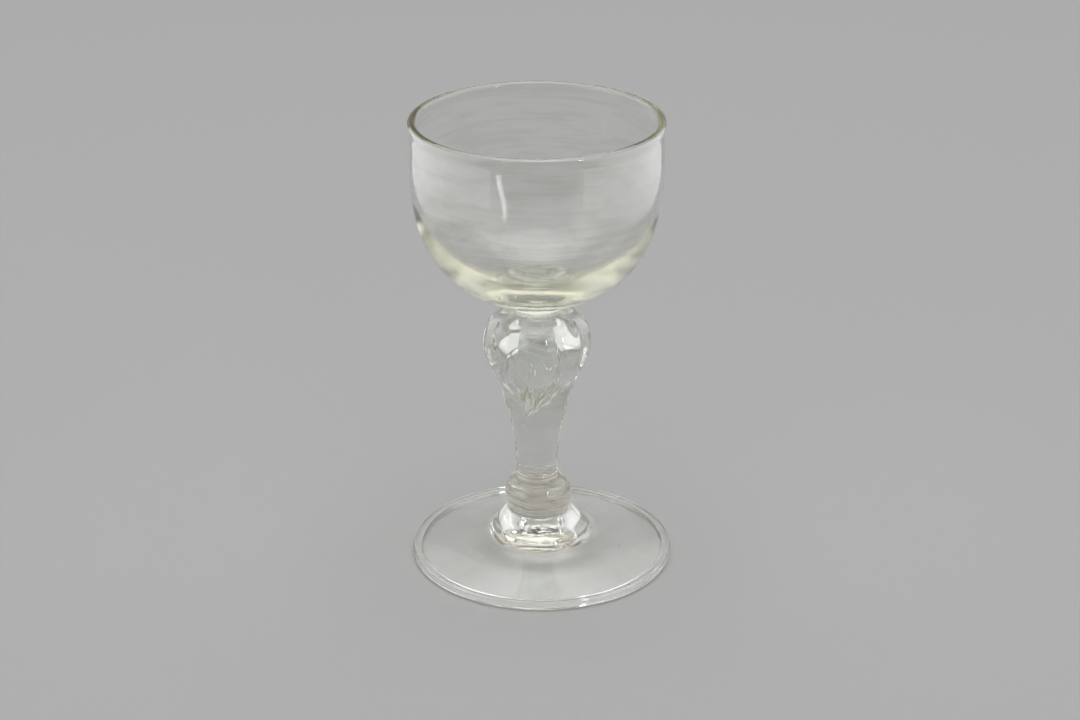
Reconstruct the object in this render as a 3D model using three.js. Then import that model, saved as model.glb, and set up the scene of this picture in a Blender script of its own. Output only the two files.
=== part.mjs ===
// Baluster wine glass: a round bowl on a moulded hollow stem, with a knop above a folded foot.
// Millimetres, +Z up. The origin is the centre of the ring that the foot rests on.
// Every piece is a gather of glass of its own, joined hot to the next one on a flat seat.

import * as THREE from 'three';
import { mergeVertices } from 'three/addons/utils/BufferGeometryUtils.js';

// Heights of the six pieces, in their order from the table to the rim
const footHeight = 15.6;
const knopHeight = 10.9;
const ringHeight = 2.2;
const stemHeight = 54.1;
const collarHeight = 2.8;
const bowlHeight = 59.4;

// The glass is blown and set by eye, so what stands on the foot is a little off its centre
const knopOffset = -0.9;
const stemOffset = -1.5;

// Where one piece sits on another, the wider seat shows this much round the narrower one
const seatLedge = 0.25;

// Foot: a low cone whose rim is folded under, with a thick pad in the middle
const footRadius = 41.2;
const foldWidth = 3.6;
const rimThickness = 3;
const rimRounding = 1.2;
const foldRounding = 0.4;
const plateThickness = 2;
const plateHeight = 7.7;
const padRadius = 18.2;
const padEdgeRadius = 15.4;
const padEdgeHeight = 9.9;
const padToe = 1.6;
const domeHeight = 6.6;
const pontilRadius = 5.2;
const pontilDrop = 1.1;

// Knop: a pressed ball on a short straight neck
const knopSeatRadius = 9.7;
const knopNeckHeight = 1.4;
const knopRadius = 10.55;
const knopWidestHeight = 4.8;
const knopCrownDrop = 0.75;

// Ring between the knop and the stem
const ringRadius = 6.85;
const ringEdge = 0.25;

// Stem: a slim shank that swells to a shoulder pressed into lobes by a mould
const shankRadius = 6.6;
const shankHeight = 2;
const shoulderRadius = 16.75;
const shoulderDrop = 11.4;
const shankSweep = 24.3;
const shankFlare = 0.7;
const shoulderSweep = 4.8;
const crownRise = 7;
const crownReach = 8;
const lobeCount = 8;
const lobeDepth = 0.8;
const ribDepth = 0.16;
const lobeToeDrop = 19.8;
const lobeToeLength = 3.6;
const lobeCrownLength = 4.5;

// Tear: the air drawn out inside the stem, open at the stem's top until the collar closes it
const mouthRadius = 3.1;
const tearNeckLength = 2.4;
const tearRadius = 9.6;
const tearWidestDrop = 12.6;
const tearLength = 35.2;
const tearLean = -1.9;

// Collar under the bowl: a short taper with fine turned rings
const collarFootRadius = 6.8;
const collarRings = 3;
const collarRingDepth = 0.22;

// Bowl: thin at the lip, with a thick base
const bowlSeatRadius = 9.6;
const bowlRadius = 38.55;
const bowlWidestHeight = 44.4;
const bowlWall = 2.05;
const bowlBase = 6.4;
const cupWidestHeight = 38.4;
const cupSweepDown = 20;
const cupSweepOut = 21;
const hullSweepOut = 8.5;
const hullSweepUp = 5;
const hullSweepDown = 36;
const lipOuterRadius = 38.8;
const lipRounding = 1.25;
const lipNeckHeight = 56;
const lipNeckRadius = 38.3;

// Steps round the axis, and points along each kind of curve
const turnSteps = 48;
const stepsPerLobe = 8;
const longCurveSteps = 12;
const shortCurveSteps = 6;
const roundEdgeSteps = 3;

const glassOpacity = 0.4;

// Points of an outline are (radius, height). Each helper adds to the outline's end.
function line(outline, radius, height) {
  outline.push(new THREE.Vector2(radius, height));
}

function sweep(outline, firstHandle, secondHandle, end, steps) {
  const start = outline[outline.length - 1];
  const rest = [firstHandle, secondHandle, end].map((point) => new THREE.Vector2(...point));
  const curve = new THREE.CubicBezierCurve(start, ...rest);
  outline.push(...curve.getPoints(steps).slice(1));
}

function bend(outline, handle, end, steps) {
  const start = outline[outline.length - 1];
  const rest = [handle, end].map((point) => new THREE.Vector2(...point));
  const curve = new THREE.QuadraticBezierCurve(start, ...rest);
  outline.push(...curve.getPoints(steps).slice(1));
}

function arc(outline, centreRadius, centreHeight, size, fromAngle, toAngle, steps) {
  const clockwise = toAngle < fromAngle;
  const curve = new THREE.EllipseCurve(centreRadius, centreHeight, size, size, fromAngle, toAngle, clockwise);
  outline.push(...curve.getPoints(steps));
}

// Turns an outline about the Z axis into one closed skin
function turned(outline, steps) {
  const geometry = new THREE.LatheGeometry(outline, steps);
  geometry.rotateX(Math.PI / 2);
  return geometry;
}

// A gather leans to meet the next one: from one height to another its axis moves sideways
function leaned(geometry, fromHeight, toHeight, shift) {
  const position = geometry.attributes.position;
  for (let i = 0; i < position.count; i += 1) {
    const risen = (position.getZ(i) - fromHeight) / (toHeight - fromHeight);
    position.setX(i, position.getX(i) + shift * THREE.MathUtils.clamp(risen, 0, 1));
  }
  return geometry;
}

function closed(geometry) {
  geometry.deleteAttribute('normal');
  geometry.deleteAttribute('uv');
  const welded = mergeVertices(geometry);
  const corners = welded.index.array;
  const kept = [];
  for (let i = 0; i < corners.length; i += 3) {
    const [a, b, c] = corners.slice(i, i + 3);
    if (a !== b && b !== c && c !== a) kept.push(a, b, c);
  }
  welded.setIndex(kept);
  welded.computeVertexNormals();
  return welded;
}

function clearGlass(colour, roughness) {
  return new THREE.MeshStandardMaterial({
    color: colour,
    roughness,
    metalness: 0,
    transparent: true,
    opacity: glassOpacity,
  });
}

function piece(name, geometry, material, offset, level) {
  const mesh = new THREE.Mesh(closed(geometry), material);
  mesh.name = name;
  mesh.position.set(offset, 0, level);
  return mesh;
}

function footGeometry() {
  const foldInner = footRadius - foldWidth;
  const rimTopRadius = footRadius - rimRounding;
  const slope = (plateHeight - rimThickness) / (rimTopRadius - padRadius);
  const plateOverFold = rimThickness + slope * (rimTopRadius - foldInner);
  const pontilLevel = domeHeight - pontilDrop;
  const outline = [new THREE.Vector2(0, pontilLevel)];
  line(outline, pontilRadius - pontilDrop, pontilLevel);
  line(outline, pontilRadius, domeHeight);
  bend(outline, [padRadius, domeHeight], [foldInner, plateOverFold - plateThickness], shortCurveSteps);
  arc(outline, foldInner + foldRounding, foldRounding, foldRounding, Math.PI, 1.5 * Math.PI, roundEdgeSteps);
  arc(outline, rimTopRadius, rimRounding, rimRounding, -0.5 * Math.PI, 0, roundEdgeSteps);
  arc(outline, rimTopRadius, rimThickness - rimRounding, rimRounding, 0, 0.5 * Math.PI, roundEdgeSteps);
  line(outline, padRadius, plateHeight);
  bend(outline, [padEdgeRadius + padToe, plateHeight], [padEdgeRadius, padEdgeHeight], shortCurveSteps);
  line(outline, knopSeatRadius + seatLedge, footHeight);
  line(outline, 0, footHeight);
  return leaned(turned(outline, turnSteps), plateHeight, footHeight, knopOffset);
}

function knopGeometry() {
  const seatOnTop = ringRadius - ringEdge + seatLedge;
  const upper = knopHeight - knopWidestHeight;
  const outline = [new THREE.Vector2(0, 0)];
  line(outline, knopSeatRadius, 0);
  line(outline, knopSeatRadius, knopNeckHeight);
  bend(outline, [knopRadius, (knopNeckHeight + knopWidestHeight) / 2],
    [knopRadius, knopWidestHeight], roundEdgeSteps);
  sweep(outline, [knopRadius, knopWidestHeight + upper / 2],
    [(knopRadius + seatOnTop) / 2, knopHeight - knopCrownDrop], [seatOnTop, knopHeight], shortCurveSteps);
  line(outline, 0, knopHeight);
  return leaned(turned(outline, turnSteps), knopWidestHeight, knopHeight, stemOffset - knopOffset);
}

function ringGeometry() {
  const face = ringRadius - ringEdge;
  const outline = [new THREE.Vector2(0, 0)];
  line(outline, face, 0);
  bend(outline, [ringRadius + ringEdge, ringHeight / 2], [face, ringHeight], shortCurveSteps);
  line(outline, 0, ringHeight);
  return turned(outline, turnSteps);
}

// How far the hollow between two lobes lies inside the stem's round outline, at a height
function hollowDepth(height) {
  const toeHeight = stemHeight - lobeToeDrop;
  const toe = THREE.MathUtils.smoothstep(height, toeHeight, toeHeight + lobeToeLength);
  const crown = 1 - THREE.MathUtils.smoothstep(height, stemHeight - lobeCrownLength, stemHeight);
  return (ribDepth + (lobeDepth - ribDepth) * toe) * crown;
}

// Presses the lobes into the stem's outside, and lets the tear's lower end lean to one side
function mouldStem(geometry, outlineLength, tearPoints) {
  const position = geometry.attributes.position;
  const firstOfTear = outlineLength - tearPoints;
  for (let i = 0; i < position.count; i += 1) {
    const x = position.getX(i);
    const y = position.getY(i);
    const height = position.getZ(i);
    if (i % outlineLength >= firstOfTear) {
      const below = Math.max(0, stemHeight - tearWidestDrop - height);
      const share = below / (tearLength - tearWidestDrop);
      position.setX(i, x + tearLean * share * share);
    } else {
      const hollow = 1 - Math.abs(Math.cos(lobeCount * Math.atan2(x, -y) / 2));
      const radius = Math.hypot(x, y);
      const pressed = radius > 0 ? 1 - hollow * hollowDepth(height) / radius : 1;
      position.setXY(i, x * pressed, y * pressed);
    }
  }
}

function stemGeometry() {
  const face = ringRadius - ringEdge - seatLedge;
  const seatOnTop = collarFootRadius + seatLedge;
  const shoulderHeight = stemHeight - shoulderDrop;
  const neckHeight = stemHeight - tearNeckLength;
  const widestHeight = stemHeight - tearWidestDrop;
  const tip = stemHeight - tearLength;
  const outline = [new THREE.Vector2(0, 0)];
  line(outline, face, 0);
  line(outline, shankRadius, shankHeight);
  sweep(outline, [shankRadius + shankFlare, shankHeight + shankSweep],
    [shoulderRadius, shoulderHeight - shoulderSweep], [shoulderRadius, shoulderHeight], longCurveSteps);
  sweep(outline, [shoulderRadius, shoulderHeight + crownRise], [seatOnTop + crownReach, stemHeight],
    [seatOnTop, stemHeight], shortCurveSteps + roundEdgeSteps);
  line(outline, mouthRadius, stemHeight);
  const outsidePoints = outline.length;
  line(outline, mouthRadius, neckHeight);
  const upperTurn = (neckHeight + widestHeight) / 2;
  const lowerTurn = (widestHeight + tip) / 2;
  sweep(outline, [mouthRadius, upperTurn], [tearRadius, upperTurn],
    [tearRadius, widestHeight], shortCurveSteps);
  sweep(outline, [tearRadius, lowerTurn], [mouthRadius, lowerTurn], [0, tip], shortCurveSteps);
  const geometry = turned(outline, lobeCount * stepsPerLobe);
  mouldStem(geometry, outline.length, outline.length - outsidePoints);
  return geometry;
}

function collarGeometry() {
  const topRadius = bowlSeatRadius + seatLedge;
  const ringStep = collarHeight / collarRings;
  const outline = [new THREE.Vector2(0, 0)];
  line(outline, collarFootRadius, 0);
  for (let ring = 0; ring < collarRings; ring += 1) {
    const lower = THREE.MathUtils.lerp(collarFootRadius, topRadius, ring / collarRings);
    const upper = THREE.MathUtils.lerp(collarFootRadius, topRadius, (ring + 1) / collarRings);
    const swell = [(lower + upper) / 2 + collarRingDepth, ringStep * (ring + 0.5) - collarRingDepth];
    bend(outline, swell, [upper, ringStep * (ring + 1)], roundEdgeSteps);
  }
  line(outline, 0, collarHeight);
  return turned(outline, turnSteps);
}

function bowlGeometry() {
  const cupRadius = bowlRadius - bowlWall;
  const lipCentreRadius = lipOuterRadius - lipRounding;
  const lipCentreHeight = bowlHeight - lipRounding;
  const outline = [new THREE.Vector2(0, 0)];
  line(outline, bowlSeatRadius, 0);
  sweep(outline, [bowlSeatRadius + hullSweepOut, hullSweepUp],
    [bowlRadius, bowlWidestHeight - hullSweepDown], [bowlRadius, bowlWidestHeight], longCurveSteps);
  line(outline, lipNeckRadius, lipNeckHeight);
  arc(outline, lipCentreRadius, lipCentreHeight, lipRounding, 0, Math.PI, shortCurveSteps);
  line(outline, cupRadius, lipNeckHeight);
  line(outline, cupRadius, cupWidestHeight);
  sweep(outline, [cupRadius, cupWidestHeight - cupSweepDown], [cupSweepOut, bowlBase],
    [0, bowlBase], longCurveSteps);
  return turned(outline, turnSteps);
}

const footGlass = clearGlass(0xdadcd6, 0.08);
const knopGlass = clearGlass(0xd9d6cc, 0.06);
const ringGlass = clearGlass(0xd6d8d2, 0.06);
const stemGlass = clearGlass(0xdadcdc, 0.04);
const collarGlass = clearGlass(0xd6d8d4, 0.06);
const bowlGlass = clearGlass(0xdde0d2, 0.05);

const knopLevel = footHeight;
const ringLevel = knopLevel + knopHeight;
const stemLevel = ringLevel + ringHeight;
const collarLevel = stemLevel + stemHeight;
const bowlLevel = collarLevel + collarHeight;

const wineGlass = new THREE.Group();
wineGlass.add(piece('foot', footGeometry(), footGlass, 0, 0));
wineGlass.add(piece('knop', knopGeometry(), knopGlass, knopOffset, knopLevel));
wineGlass.add(piece('neck_ring', ringGeometry(), ringGlass, stemOffset, ringLevel));
wineGlass.add(piece('stem', stemGeometry(), stemGlass, stemOffset, stemLevel));
wineGlass.add(piece('bowl_collar', collarGeometry(), collarGlass, stemOffset, collarLevel));
wineGlass.add(piece('bowl', bowlGeometry(), bowlGlass, stemOffset, bowlLevel));

export default wineGlass;
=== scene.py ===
import math
from typing import NamedTuple

import bmesh
import bpy
from mathutils import Matrix, Vector, geometry, noise


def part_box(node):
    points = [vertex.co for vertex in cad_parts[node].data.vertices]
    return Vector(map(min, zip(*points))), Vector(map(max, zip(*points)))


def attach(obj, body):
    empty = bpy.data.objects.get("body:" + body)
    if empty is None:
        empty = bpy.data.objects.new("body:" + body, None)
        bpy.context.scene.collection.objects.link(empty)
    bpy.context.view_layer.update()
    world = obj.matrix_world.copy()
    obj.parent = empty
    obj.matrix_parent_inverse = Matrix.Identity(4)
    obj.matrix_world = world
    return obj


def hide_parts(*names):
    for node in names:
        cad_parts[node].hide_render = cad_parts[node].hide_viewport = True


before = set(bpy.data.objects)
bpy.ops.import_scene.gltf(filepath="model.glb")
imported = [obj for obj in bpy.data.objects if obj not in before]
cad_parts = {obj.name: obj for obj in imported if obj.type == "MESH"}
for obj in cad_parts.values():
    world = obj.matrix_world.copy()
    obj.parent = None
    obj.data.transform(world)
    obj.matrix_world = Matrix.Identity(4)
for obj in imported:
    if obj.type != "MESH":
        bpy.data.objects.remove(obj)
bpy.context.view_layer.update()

bl_info = {
    "name": "Baluster wine glass",
    "version": (1, 0, 0),
    "blender": (4, 5, 0),
    "location": "3D View > Sidebar > Wine Glass",
    "description": "Builds a hand-blown baluster wine glass gather by gather, with its table and lights",
    "category": "Object",
}

MM = 0.001

# Where each gather starts and ends in the frame, in metres
FOOT_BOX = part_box("foot")
KNOP_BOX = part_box("knop")
RING_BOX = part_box("neck_ring")
STEM_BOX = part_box("stem")
COLLAR_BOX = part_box("bowl_collar")
BOWL_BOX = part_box("bowl")

# Two fused gathers keep this much air between their hidden faces, so that no face lies in another
JOINT_GAP = 0.02 * MM

# The tooth of the table's paper keeps this much air under the foot, so that light still gets in there
TABLE_GAP = 0.05 * MM

# Points this near to each other are one point
MERGED = 0.0005 * MM

# A point this near to a height lies level with it
LEVEL = 0.001 * MM

# A point this near to the axis of a turned piece stays where it is
ON_AXIS = 0.01 * MM

# Faces that meet at more than this many degrees keep a sharp edge
SHARP_ANGLE = 38

# The mould has eight lobes, and the glass has folded in five places towards the tear's tip
LOBES = 8
TEAR_FOLDS = 5

# The skins of a turned piece, which take different tool marks
SEAT = 0
OUTSIDE = 1
INSIDE = 2
UNDERSIDE = 3
EDGE = 4


def middle_x(box):
    """The X of a turned piece's axis, from its box."""
    return (box[0].x + box[1].x) / 2


def length(name, description, millimetres):
    """A size that a user can change, kept in metres."""
    return bpy.props.FloatProperty(
        name=name,
        description=description,
        default=millimetres * MM,
        min=0.0,
        unit="LENGTH",
        subtype="DISTANCE",
        precision=5,
    )


def colour(name, description, red, green, blue):
    """A colour that a user can change."""
    return bpy.props.FloatVectorProperty(
        name=name,
        description=description,
        default=(red, green, blue),
        min=0.0,
        max=1.0,
        size=3,
        subtype="COLOR",
    )


def share(name, description, default):
    """A number from 0 to 1 that a user can change."""
    return bpy.props.FloatProperty(
        name=name, description=description, default=default, min=0.0, max=1.0, subtype="FACTOR"
    )


def power(name, description, watts):
    """The power of a lamp that a user can change."""
    return bpy.props.FloatProperty(name=name, description=description, default=watts, min=0.0, unit="POWER")


class FootSizes(bpy.types.PropertyGroup):
    """The folded foot and the thick pad in its middle."""

    radius: length("Radius", "From the axis to the outside of the rim", FOOT_BOX[1].x / MM)
    height: length("Height", "From the table to the seat of the knop", FOOT_BOX[1].z / MM)
    rim: length("Rim", "Thickness of the rim where the glass is folded under", 3.0)
    rim_rounding: length("Rim rounding", "Radius of the rim's two corners", 1.0)
    fold: length("Fold", "Width of the folded part", 3.6)
    plate: length("Plate", "Thickness of the single sheet inside the fold", 2.0)
    plate_top: length("Plate top", "Height of the plate where it meets the pad", 7.7)
    pad_radius: length("Pad radius", "From the axis to the outside of the pad's toe", 18.2)
    pad_edge: length("Pad edge", "Radius of the pad's rounded edge", 15.4)
    pad_edge_height: length("Pad edge height", "Height of the pad's rounded edge", 9.9)
    seat: length("Seat", "Radius of the face that the knop is fused to", 9.95)
    dome: length("Dome", "Height of the hollow under the foot", 6.6)
    pontil: length("Pontil scar", "Radius of the rough scar under the foot", 5.2)
    pontil_drop: length("Pontil depth", "How far the scar hangs below the dome", 2.0)


class KnopSizes(bpy.types.PropertyGroup):
    """The pressed ball above the foot and the ring on it."""

    neck: length("Neck", "Radius of the short neck on the foot", 9.7)
    neck_height: length("Neck height", "Height of the short neck", 1.4)
    radius: length("Radius", "Widest radius of the ball", 10.55)
    widest: length("Widest", "Height of the widest place above the foot", 4.8)
    groove: length("Groove", "Depth of the broad tool rings round the ball", 0.24)
    groove_pitch: length("Groove pitch", "Distance between two broad tool rings", 2.7)
    fine_groove: length("Fine groove", "Depth of the fine tool lines between them", 0.030)
    ring: length("Ring", "Radius of the thin ring on the knop", 6.85)


class StemSizes(bpy.types.PropertyGroup):
    """The moulded stem and the tear of air inside it."""

    shank: length("Shank", "Radius of the slim lower end", 6.6)
    shoulder: length("Shoulder", "Widest radius of the stem", 16.75)
    shoulder_drop: length("Shoulder drop", "From the stem's top down to its widest place", 11.4)
    lobe_depth: length("Lobe depth", "Depth of the hollows between the eight lobes", 1.35)
    toe_step: length("Toe step", "How far the lobes' rounded ends stand above the shank", 0.4)
    rib_depth: length("Rib depth", "Depth of the faint ribs that run on down the shank", 0.30)
    tear: length("Tear", "Widest radius of the tear of air", 9.6)
    tear_length: length("Tear length", "From the stem's top down to the tear's tip", 35.2)
    tear_fold: length("Tear folds", "Depth of the folds towards the tear's tip", 1.7)
    mouth: length("Tear mouth", "Radius of the tear where the collar closes it", 3.1)
    lean: length("Tear lean", "How far the tear's tip leans to the left", 1.9)


class BowlSizes(bpy.types.PropertyGroup):
    """The round bowl and the collar under it."""

    radius: length("Radius", "Widest outer radius of the bowl", 38.55)
    lip: length("Lip", "Outer radius of the fire-polished lip", 38.8)
    lip_rounding: length("Lip rounding", "Half the thickness of the lip", 1.25)
    wall: length("Wall", "Thickness of the wall in the bowl's upper half", 2.05)
    base: length("Base", "Thickness of the glass in the bowl's bottom", 6.4)
    collar: length("Collar", "Radius of the collar's lower end", 6.8)
    seat: length("Seat", "Radius of the bowl's lower end on the collar", 9.6)
    crease: length("Crease", "Width of the open crease round the joint of bowl and collar", 1.0)
    waver: length("Waver", "How far the blown wall wavers from a true round", 0.2)


class GlassFinish(bpy.types.PropertyGroup):
    """Colour and polish of the glass."""

    surface_tint: colour("Surface tint", "Tint at the skin of the glass", 0.985, 0.99, 0.975)
    cord_tint: colour("Cord tint", "Tint of the faint streaks in the melt", 0.91, 0.915, 0.885)
    bowl_depth: colour("Bowl depth colour", "Colour of thick glass in the bowl", 0.84, 0.835, 0.75)
    stem_depth: colour("Stem depth colour", "Colour of thick glass in the stem", 0.81, 0.83, 0.77)
    # The knop's depth colour is warmer than the stem's and foot's glass: partly the glass's own tint, partly
    # painted warm light standing in for the warm lamp light that the knop shows
    knop_depth: colour("Knop depth colour and painted warmth", "Colour of thick glass in the knop", 0.78, 0.71, 0.60)
    foot_depth: colour("Foot depth colour", "Colour of thick glass in the foot", 0.81, 0.82, 0.77)
    density: bpy.props.FloatProperty(
        name="Density", description="How soon the depth colours show", default=26.0, min=0.0
    )
    polish: share("Polish roughness", "Roughness of fire-polished glass", 0.012)
    wear: share("Wear", "How much fine scratching shows on the foot", 0.5)


class StageLook(bpy.types.PropertyGroup):
    """The table, the lights and the room."""

    floor: colour("Table colour", "Colour of the pale table", 0.46, 0.46, 0.46)
    room: colour("Room colour", "Brightness of the room at the height of the table", 0.36, 0.36, 0.36)
    wall: colour("Wall colour", "Brightness of the room's walls above the table", 0.12, 0.12, 0.125)
    ceiling: bpy.props.FloatProperty(
        name="Ceiling", description="Brightness of the soft light ceiling overhead", default=1.45, min=0.0
    )
    panel: power("Side panels", "Power of each wide soft panel at the sides", 4.8)
    back: power("Back panels", "Power of each smaller panel behind the glass at its sides", 0.95)
    low: power("Low panels", "Power of each panel beside the glass, seen only as a shine on its skin", 0.45)
    front: power("Front strip", "Power of the small strip light beside the camera", 2.3)
    top: power("Top panel", "Power of the soft panel overhead", 11.0)
    lens: bpy.props.FloatProperty(
        name="Lens", description="Focal length of the camera", default=82.77, min=1.0, unit="CAMERA"
    )


class HalfSection:
    """Half of a turned piece's section: points of radius and height in metres, with their skin."""

    def __init__(self, height, skin):
        self.points = [(0.0, height, skin)]
        self.skin = skin

    def end(self):
        return Vector(self.points[-1][:2])

    def go_on(self, places, skin):
        """Adds points, on a new skin if one is given."""
        self.skin = self.skin if skin is None else skin
        self.points += [(radius, height, self.skin) for radius, height in places]

    def line(self, radius, height, steps, skin=None):
        """Goes on in a straight line."""
        start, stop = self.end(), Vector((radius, height))
        self.go_on([start.lerp(stop, i / steps) for i in range(1, steps + 1)], skin)

    def sweep(self, first, second, end, steps, skin=None):
        """Goes on in a curve with two handles."""
        knots = [Vector((radius, 0.0, height)) for radius, height in (self.end(), first, second, end)]
        curve = geometry.interpolate_bezier(*knots, steps + 1)
        self.go_on([(at.x, at.z) for at in curve[1:]], skin)

    def bend(self, handle, end, steps, skin=None):
        """Goes on in a curve with one handle."""
        turn = Vector(handle)
        self.sweep(self.end().lerp(turn, 2 / 3), Vector(end).lerp(turn, 2 / 3), end, steps, skin)

    def arc(self, centre, size, first_angle, last_angle, steps, skin=None):
        """Goes on round a circle, with angles in degrees from the outward direction."""
        turn = last_angle - first_angle
        angles = [math.radians(first_angle + turn * i / steps) for i in range(steps + 1)]
        self.go_on([(centre[0] + size * math.cos(a), centre[1] + size * math.sin(a)) for a in angles], skin)


def smooth_step(value, start, stop):
    """0 before start, 1 after stop, and a soft rise between them."""
    risen = min(max((value - start) / (stop - start), 0.0), 1.0)
    return risen * risen * (3 - 2 * risen)


def turned(section, steps):
    """Spins a half section about the Z axis into one closed skin."""
    bm = bmesh.new()
    skin = bm.verts.layers.int.new("skin")
    chain = []
    for radius, height, kind in section.points:
        vert = bm.verts.new((radius, 0.0, height))
        vert[skin] = kind
        chain.append(vert)
    edges = [bm.edges.new(pair) for pair in zip(chain, chain[1:])]
    bmesh.ops.spin(
        bm, geom=chain + edges, cent=(0, 0, 0), axis=(0, 0, 1), angle=math.tau, steps=steps, use_merge=True
    )
    bmesh.ops.remove_doubles(bm, verts=bm.verts[:], dist=MERGED)
    bmesh.ops.recalc_face_normals(bm, faces=bm.faces[:])
    bm.normal_update()
    return bm


def worked(bm, kind, move):
    """Moves each point of one skin by what move(angle, height, radius) gives: a step out and a step up."""
    skin = bm.verts.layers.int["skin"]
    for vert in bm.verts:
        radius = math.hypot(vert.co.x, vert.co.y)
        if vert[skin] != kind or radius < ON_AXIS:
            continue
        angle = math.atan2(vert.co.x, -vert.co.y)
        out, up = move(angle, vert.co.z, radius)
        vert.co.x *= (radius + out) / radius
        vert.co.y *= (radius + out) / radius
        vert.co.z += up


def waver(angle, height, turns, per_metre, seed):
    """A soft uneven value from about -1 to 1 that closes round the axis.

    More turns make it change faster round the piece, more per metre make it change faster upwards, and
    each seed gives another pattern.
    """
    around = Vector((math.cos(angle) * turns, math.sin(angle) * turns, height * per_metre))
    return noise.noise(around + Vector((seed * 7.3, seed * 3.1, seed * 5.7)))


def leaned(bm, from_height, to_height, shift):
    """Moves the axis sideways from one height to another, as a gather leans to meet the next one."""
    for vert in bm.verts:
        risen = (vert.co.z - from_height) / (to_height - from_height)
        vert.co.x += shift * min(max(risen, 0.0), 1.0)


def stood(bm, box, low):
    """Stands a turned piece on its own axis at this height."""
    bmesh.ops.translate(bm, verts=bm.verts[:], vec=(middle_x(box), 0.0, low))


def seeded(bm, seeds):
    """Puts small flattened bubbles into the glass. Each is (x, y, z, radius), in millimetres."""
    skin = bm.verts.layers.int["skin"]
    for x, y, z, radius in seeds:
        size = radius * MM
        flat = size * 0.8
        shape = Matrix.Diagonal((size, size, flat, 1.0))
        at = Matrix.Translation((x * MM, y * MM, z * MM))
        made = bmesh.ops.create_icosphere(bm, subdivisions=2, radius=1.0, matrix=at @ shape)
        for vert in made["verts"]:
            vert[skin] = INSIDE
        faces = {face for vert in made["verts"] for face in vert.link_faces}
        bmesh.ops.reverse_faces(bm, faces=list(faces))


def fused(bm, height, box, outer, inner=0.0):
    """Marks the hidden faces at a height, between two radii, where two gathers have melted together."""
    layers = bm.faces.layers.float
    mark = layers.get("fused") or layers.new("fused")
    for face in bm.faces:
        level = all(abs(vert.co.z - height) < LEVEL for vert in face.verts)
        middle = face.calc_center_median()
        if level and inner <= math.hypot(middle.x - middle_x(box), middle.y) < outer:
            face[mark] = 1.0


def finished(name, bm, node, material):
    """Makes the object, gives it its glass and lets it stand for its CAD node."""
    mesh = bpy.data.meshes.new(name)
    bm.to_mesh(mesh)
    bm.free()
    mesh.shade_smooth()
    mesh.set_sharp_from_angle(angle=math.radians(SHARP_ANGLE))
    mesh.materials.append(material)
    piece = bpy.data.objects.new(name, mesh)
    bpy.context.scene.collection.objects.link(piece)
    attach(piece, "root")
    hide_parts(node)


def place(tree, kind, inputs=None, **options):
    """Adds a node, sets its options and feeds its inputs with sockets or plain values."""
    made = tree.nodes.new(kind)
    for option, value in options.items():
        setattr(made, option, value)
    for key, value in (inputs or {}).items():
        if isinstance(value, bpy.types.NodeSocket):
            tree.links.new(value, made.inputs[key])
        else:
            made.inputs[key].default_value = value
    return made


def cleared(block):
    """Turns on the nodes of a material, a world or a lamp, and returns its tree with none in it."""
    block.use_nodes = True
    block.node_tree.nodes.clear()
    return block.node_tree


def math_node(tree, operation, first, second=0.0):
    """The result of one operation on two sockets or numbers."""
    return place(tree, "ShaderNodeMath", {0: first, 1: second}, operation=operation).outputs[0]


def noise_value(tree, at, detail, scale=1.0, **others):
    """The value of a noise texture. Its other inputs are given by name."""
    inputs = {"Vector": at, "Scale": scale, "Detail": detail, **others}
    return place(tree, "ShaderNodeTexNoise", inputs).outputs["Fac"]


def ramp(tree, value, start, stop, low=0.0, high=1.0, soft=False):
    """Goes from low to high while its value goes from start to stop."""
    inputs = {"Value": value, "From Min": start, "From Max": stop, "To Min": low, "To Max": high}
    rise = "SMOOTHSTEP" if soft else "LINEAR"
    return place(tree, "ShaderNodeMapRange", inputs, interpolation_type=rise).outputs["Result"]


def blend(tree, amount, first, second):
    """The first colour where the amount is 0 and the second one where it is 1."""
    return place(tree, "ShaderNodeMix", {"Factor": amount, 6: first, 7: second}, data_type="RGBA").outputs[2]


def stretched(tree, position, along, across):
    """Position divided by one length round the piece and another one up it."""
    flat = math_node(tree, "DIVIDE", 1.0, along)
    steep = math_node(tree, "DIVIDE", 1.0, across)
    scale = place(tree, "ShaderNodeCombineXYZ", {"X": flat, "Y": flat, "Z": steep}).outputs[0]
    return place(tree, "ShaderNodeVectorMath", {0: position, 1: scale}, operation="MULTIPLY").outputs[0]


def open_group(name, inputs, outputs):
    """Starts a shader node group that works on a position, and returns it with the sockets inside it."""
    tree = bpy.data.node_groups.new(name, "ShaderNodeTree")
    for label, kind, default in (("Position", "Vector", None), *inputs):
        socket = tree.interface.new_socket(name=label, in_out="INPUT", socket_type="NodeSocket" + kind)
        if default is not None:
            socket.default_value = default
    for label, kind in outputs:
        tree.interface.new_socket(name=label, in_out="OUTPUT", socket_type="NodeSocket" + kind)
    return tree, tree.nodes.new("NodeGroupInput").outputs, tree.nodes.new("NodeGroupOutput").inputs


def built_once(build):
    """Builds a node group under its function's name at the first call, and finds it there later."""

    def shared():
        return bpy.data.node_groups.get(build.__name__) or build(build.__name__)

    return shared


@built_once
def level_striae(name):
    """Fine level lines that the tools leave on turned glass. Height is in millimetres."""
    tree, given, result = open_group(
        name,
        [("Line Length", "Float", 0.03), ("Line Spacing", "Float", 0.0008), ("Depth", "Float", 0.004)],
        [("Height", "Float")],
    )
    at = stretched(tree, given["Position"], given["Line Length"], given["Line Spacing"])
    fine = noise_value(tree, at, 3.0, Roughness=0.6)
    patches = noise_value(tree, given["Position"], 1.0, scale=45.0)
    here = ramp(tree, patches, 0.38, 0.62, low=0.35)
    centred = math_node(tree, "SUBTRACT", fine, 0.5)
    height = math_node(tree, "MULTIPLY", centred, given["Depth"])
    tree.links.new(math_node(tree, "MULTIPLY", height, here), result["Height"])
    return tree


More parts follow.
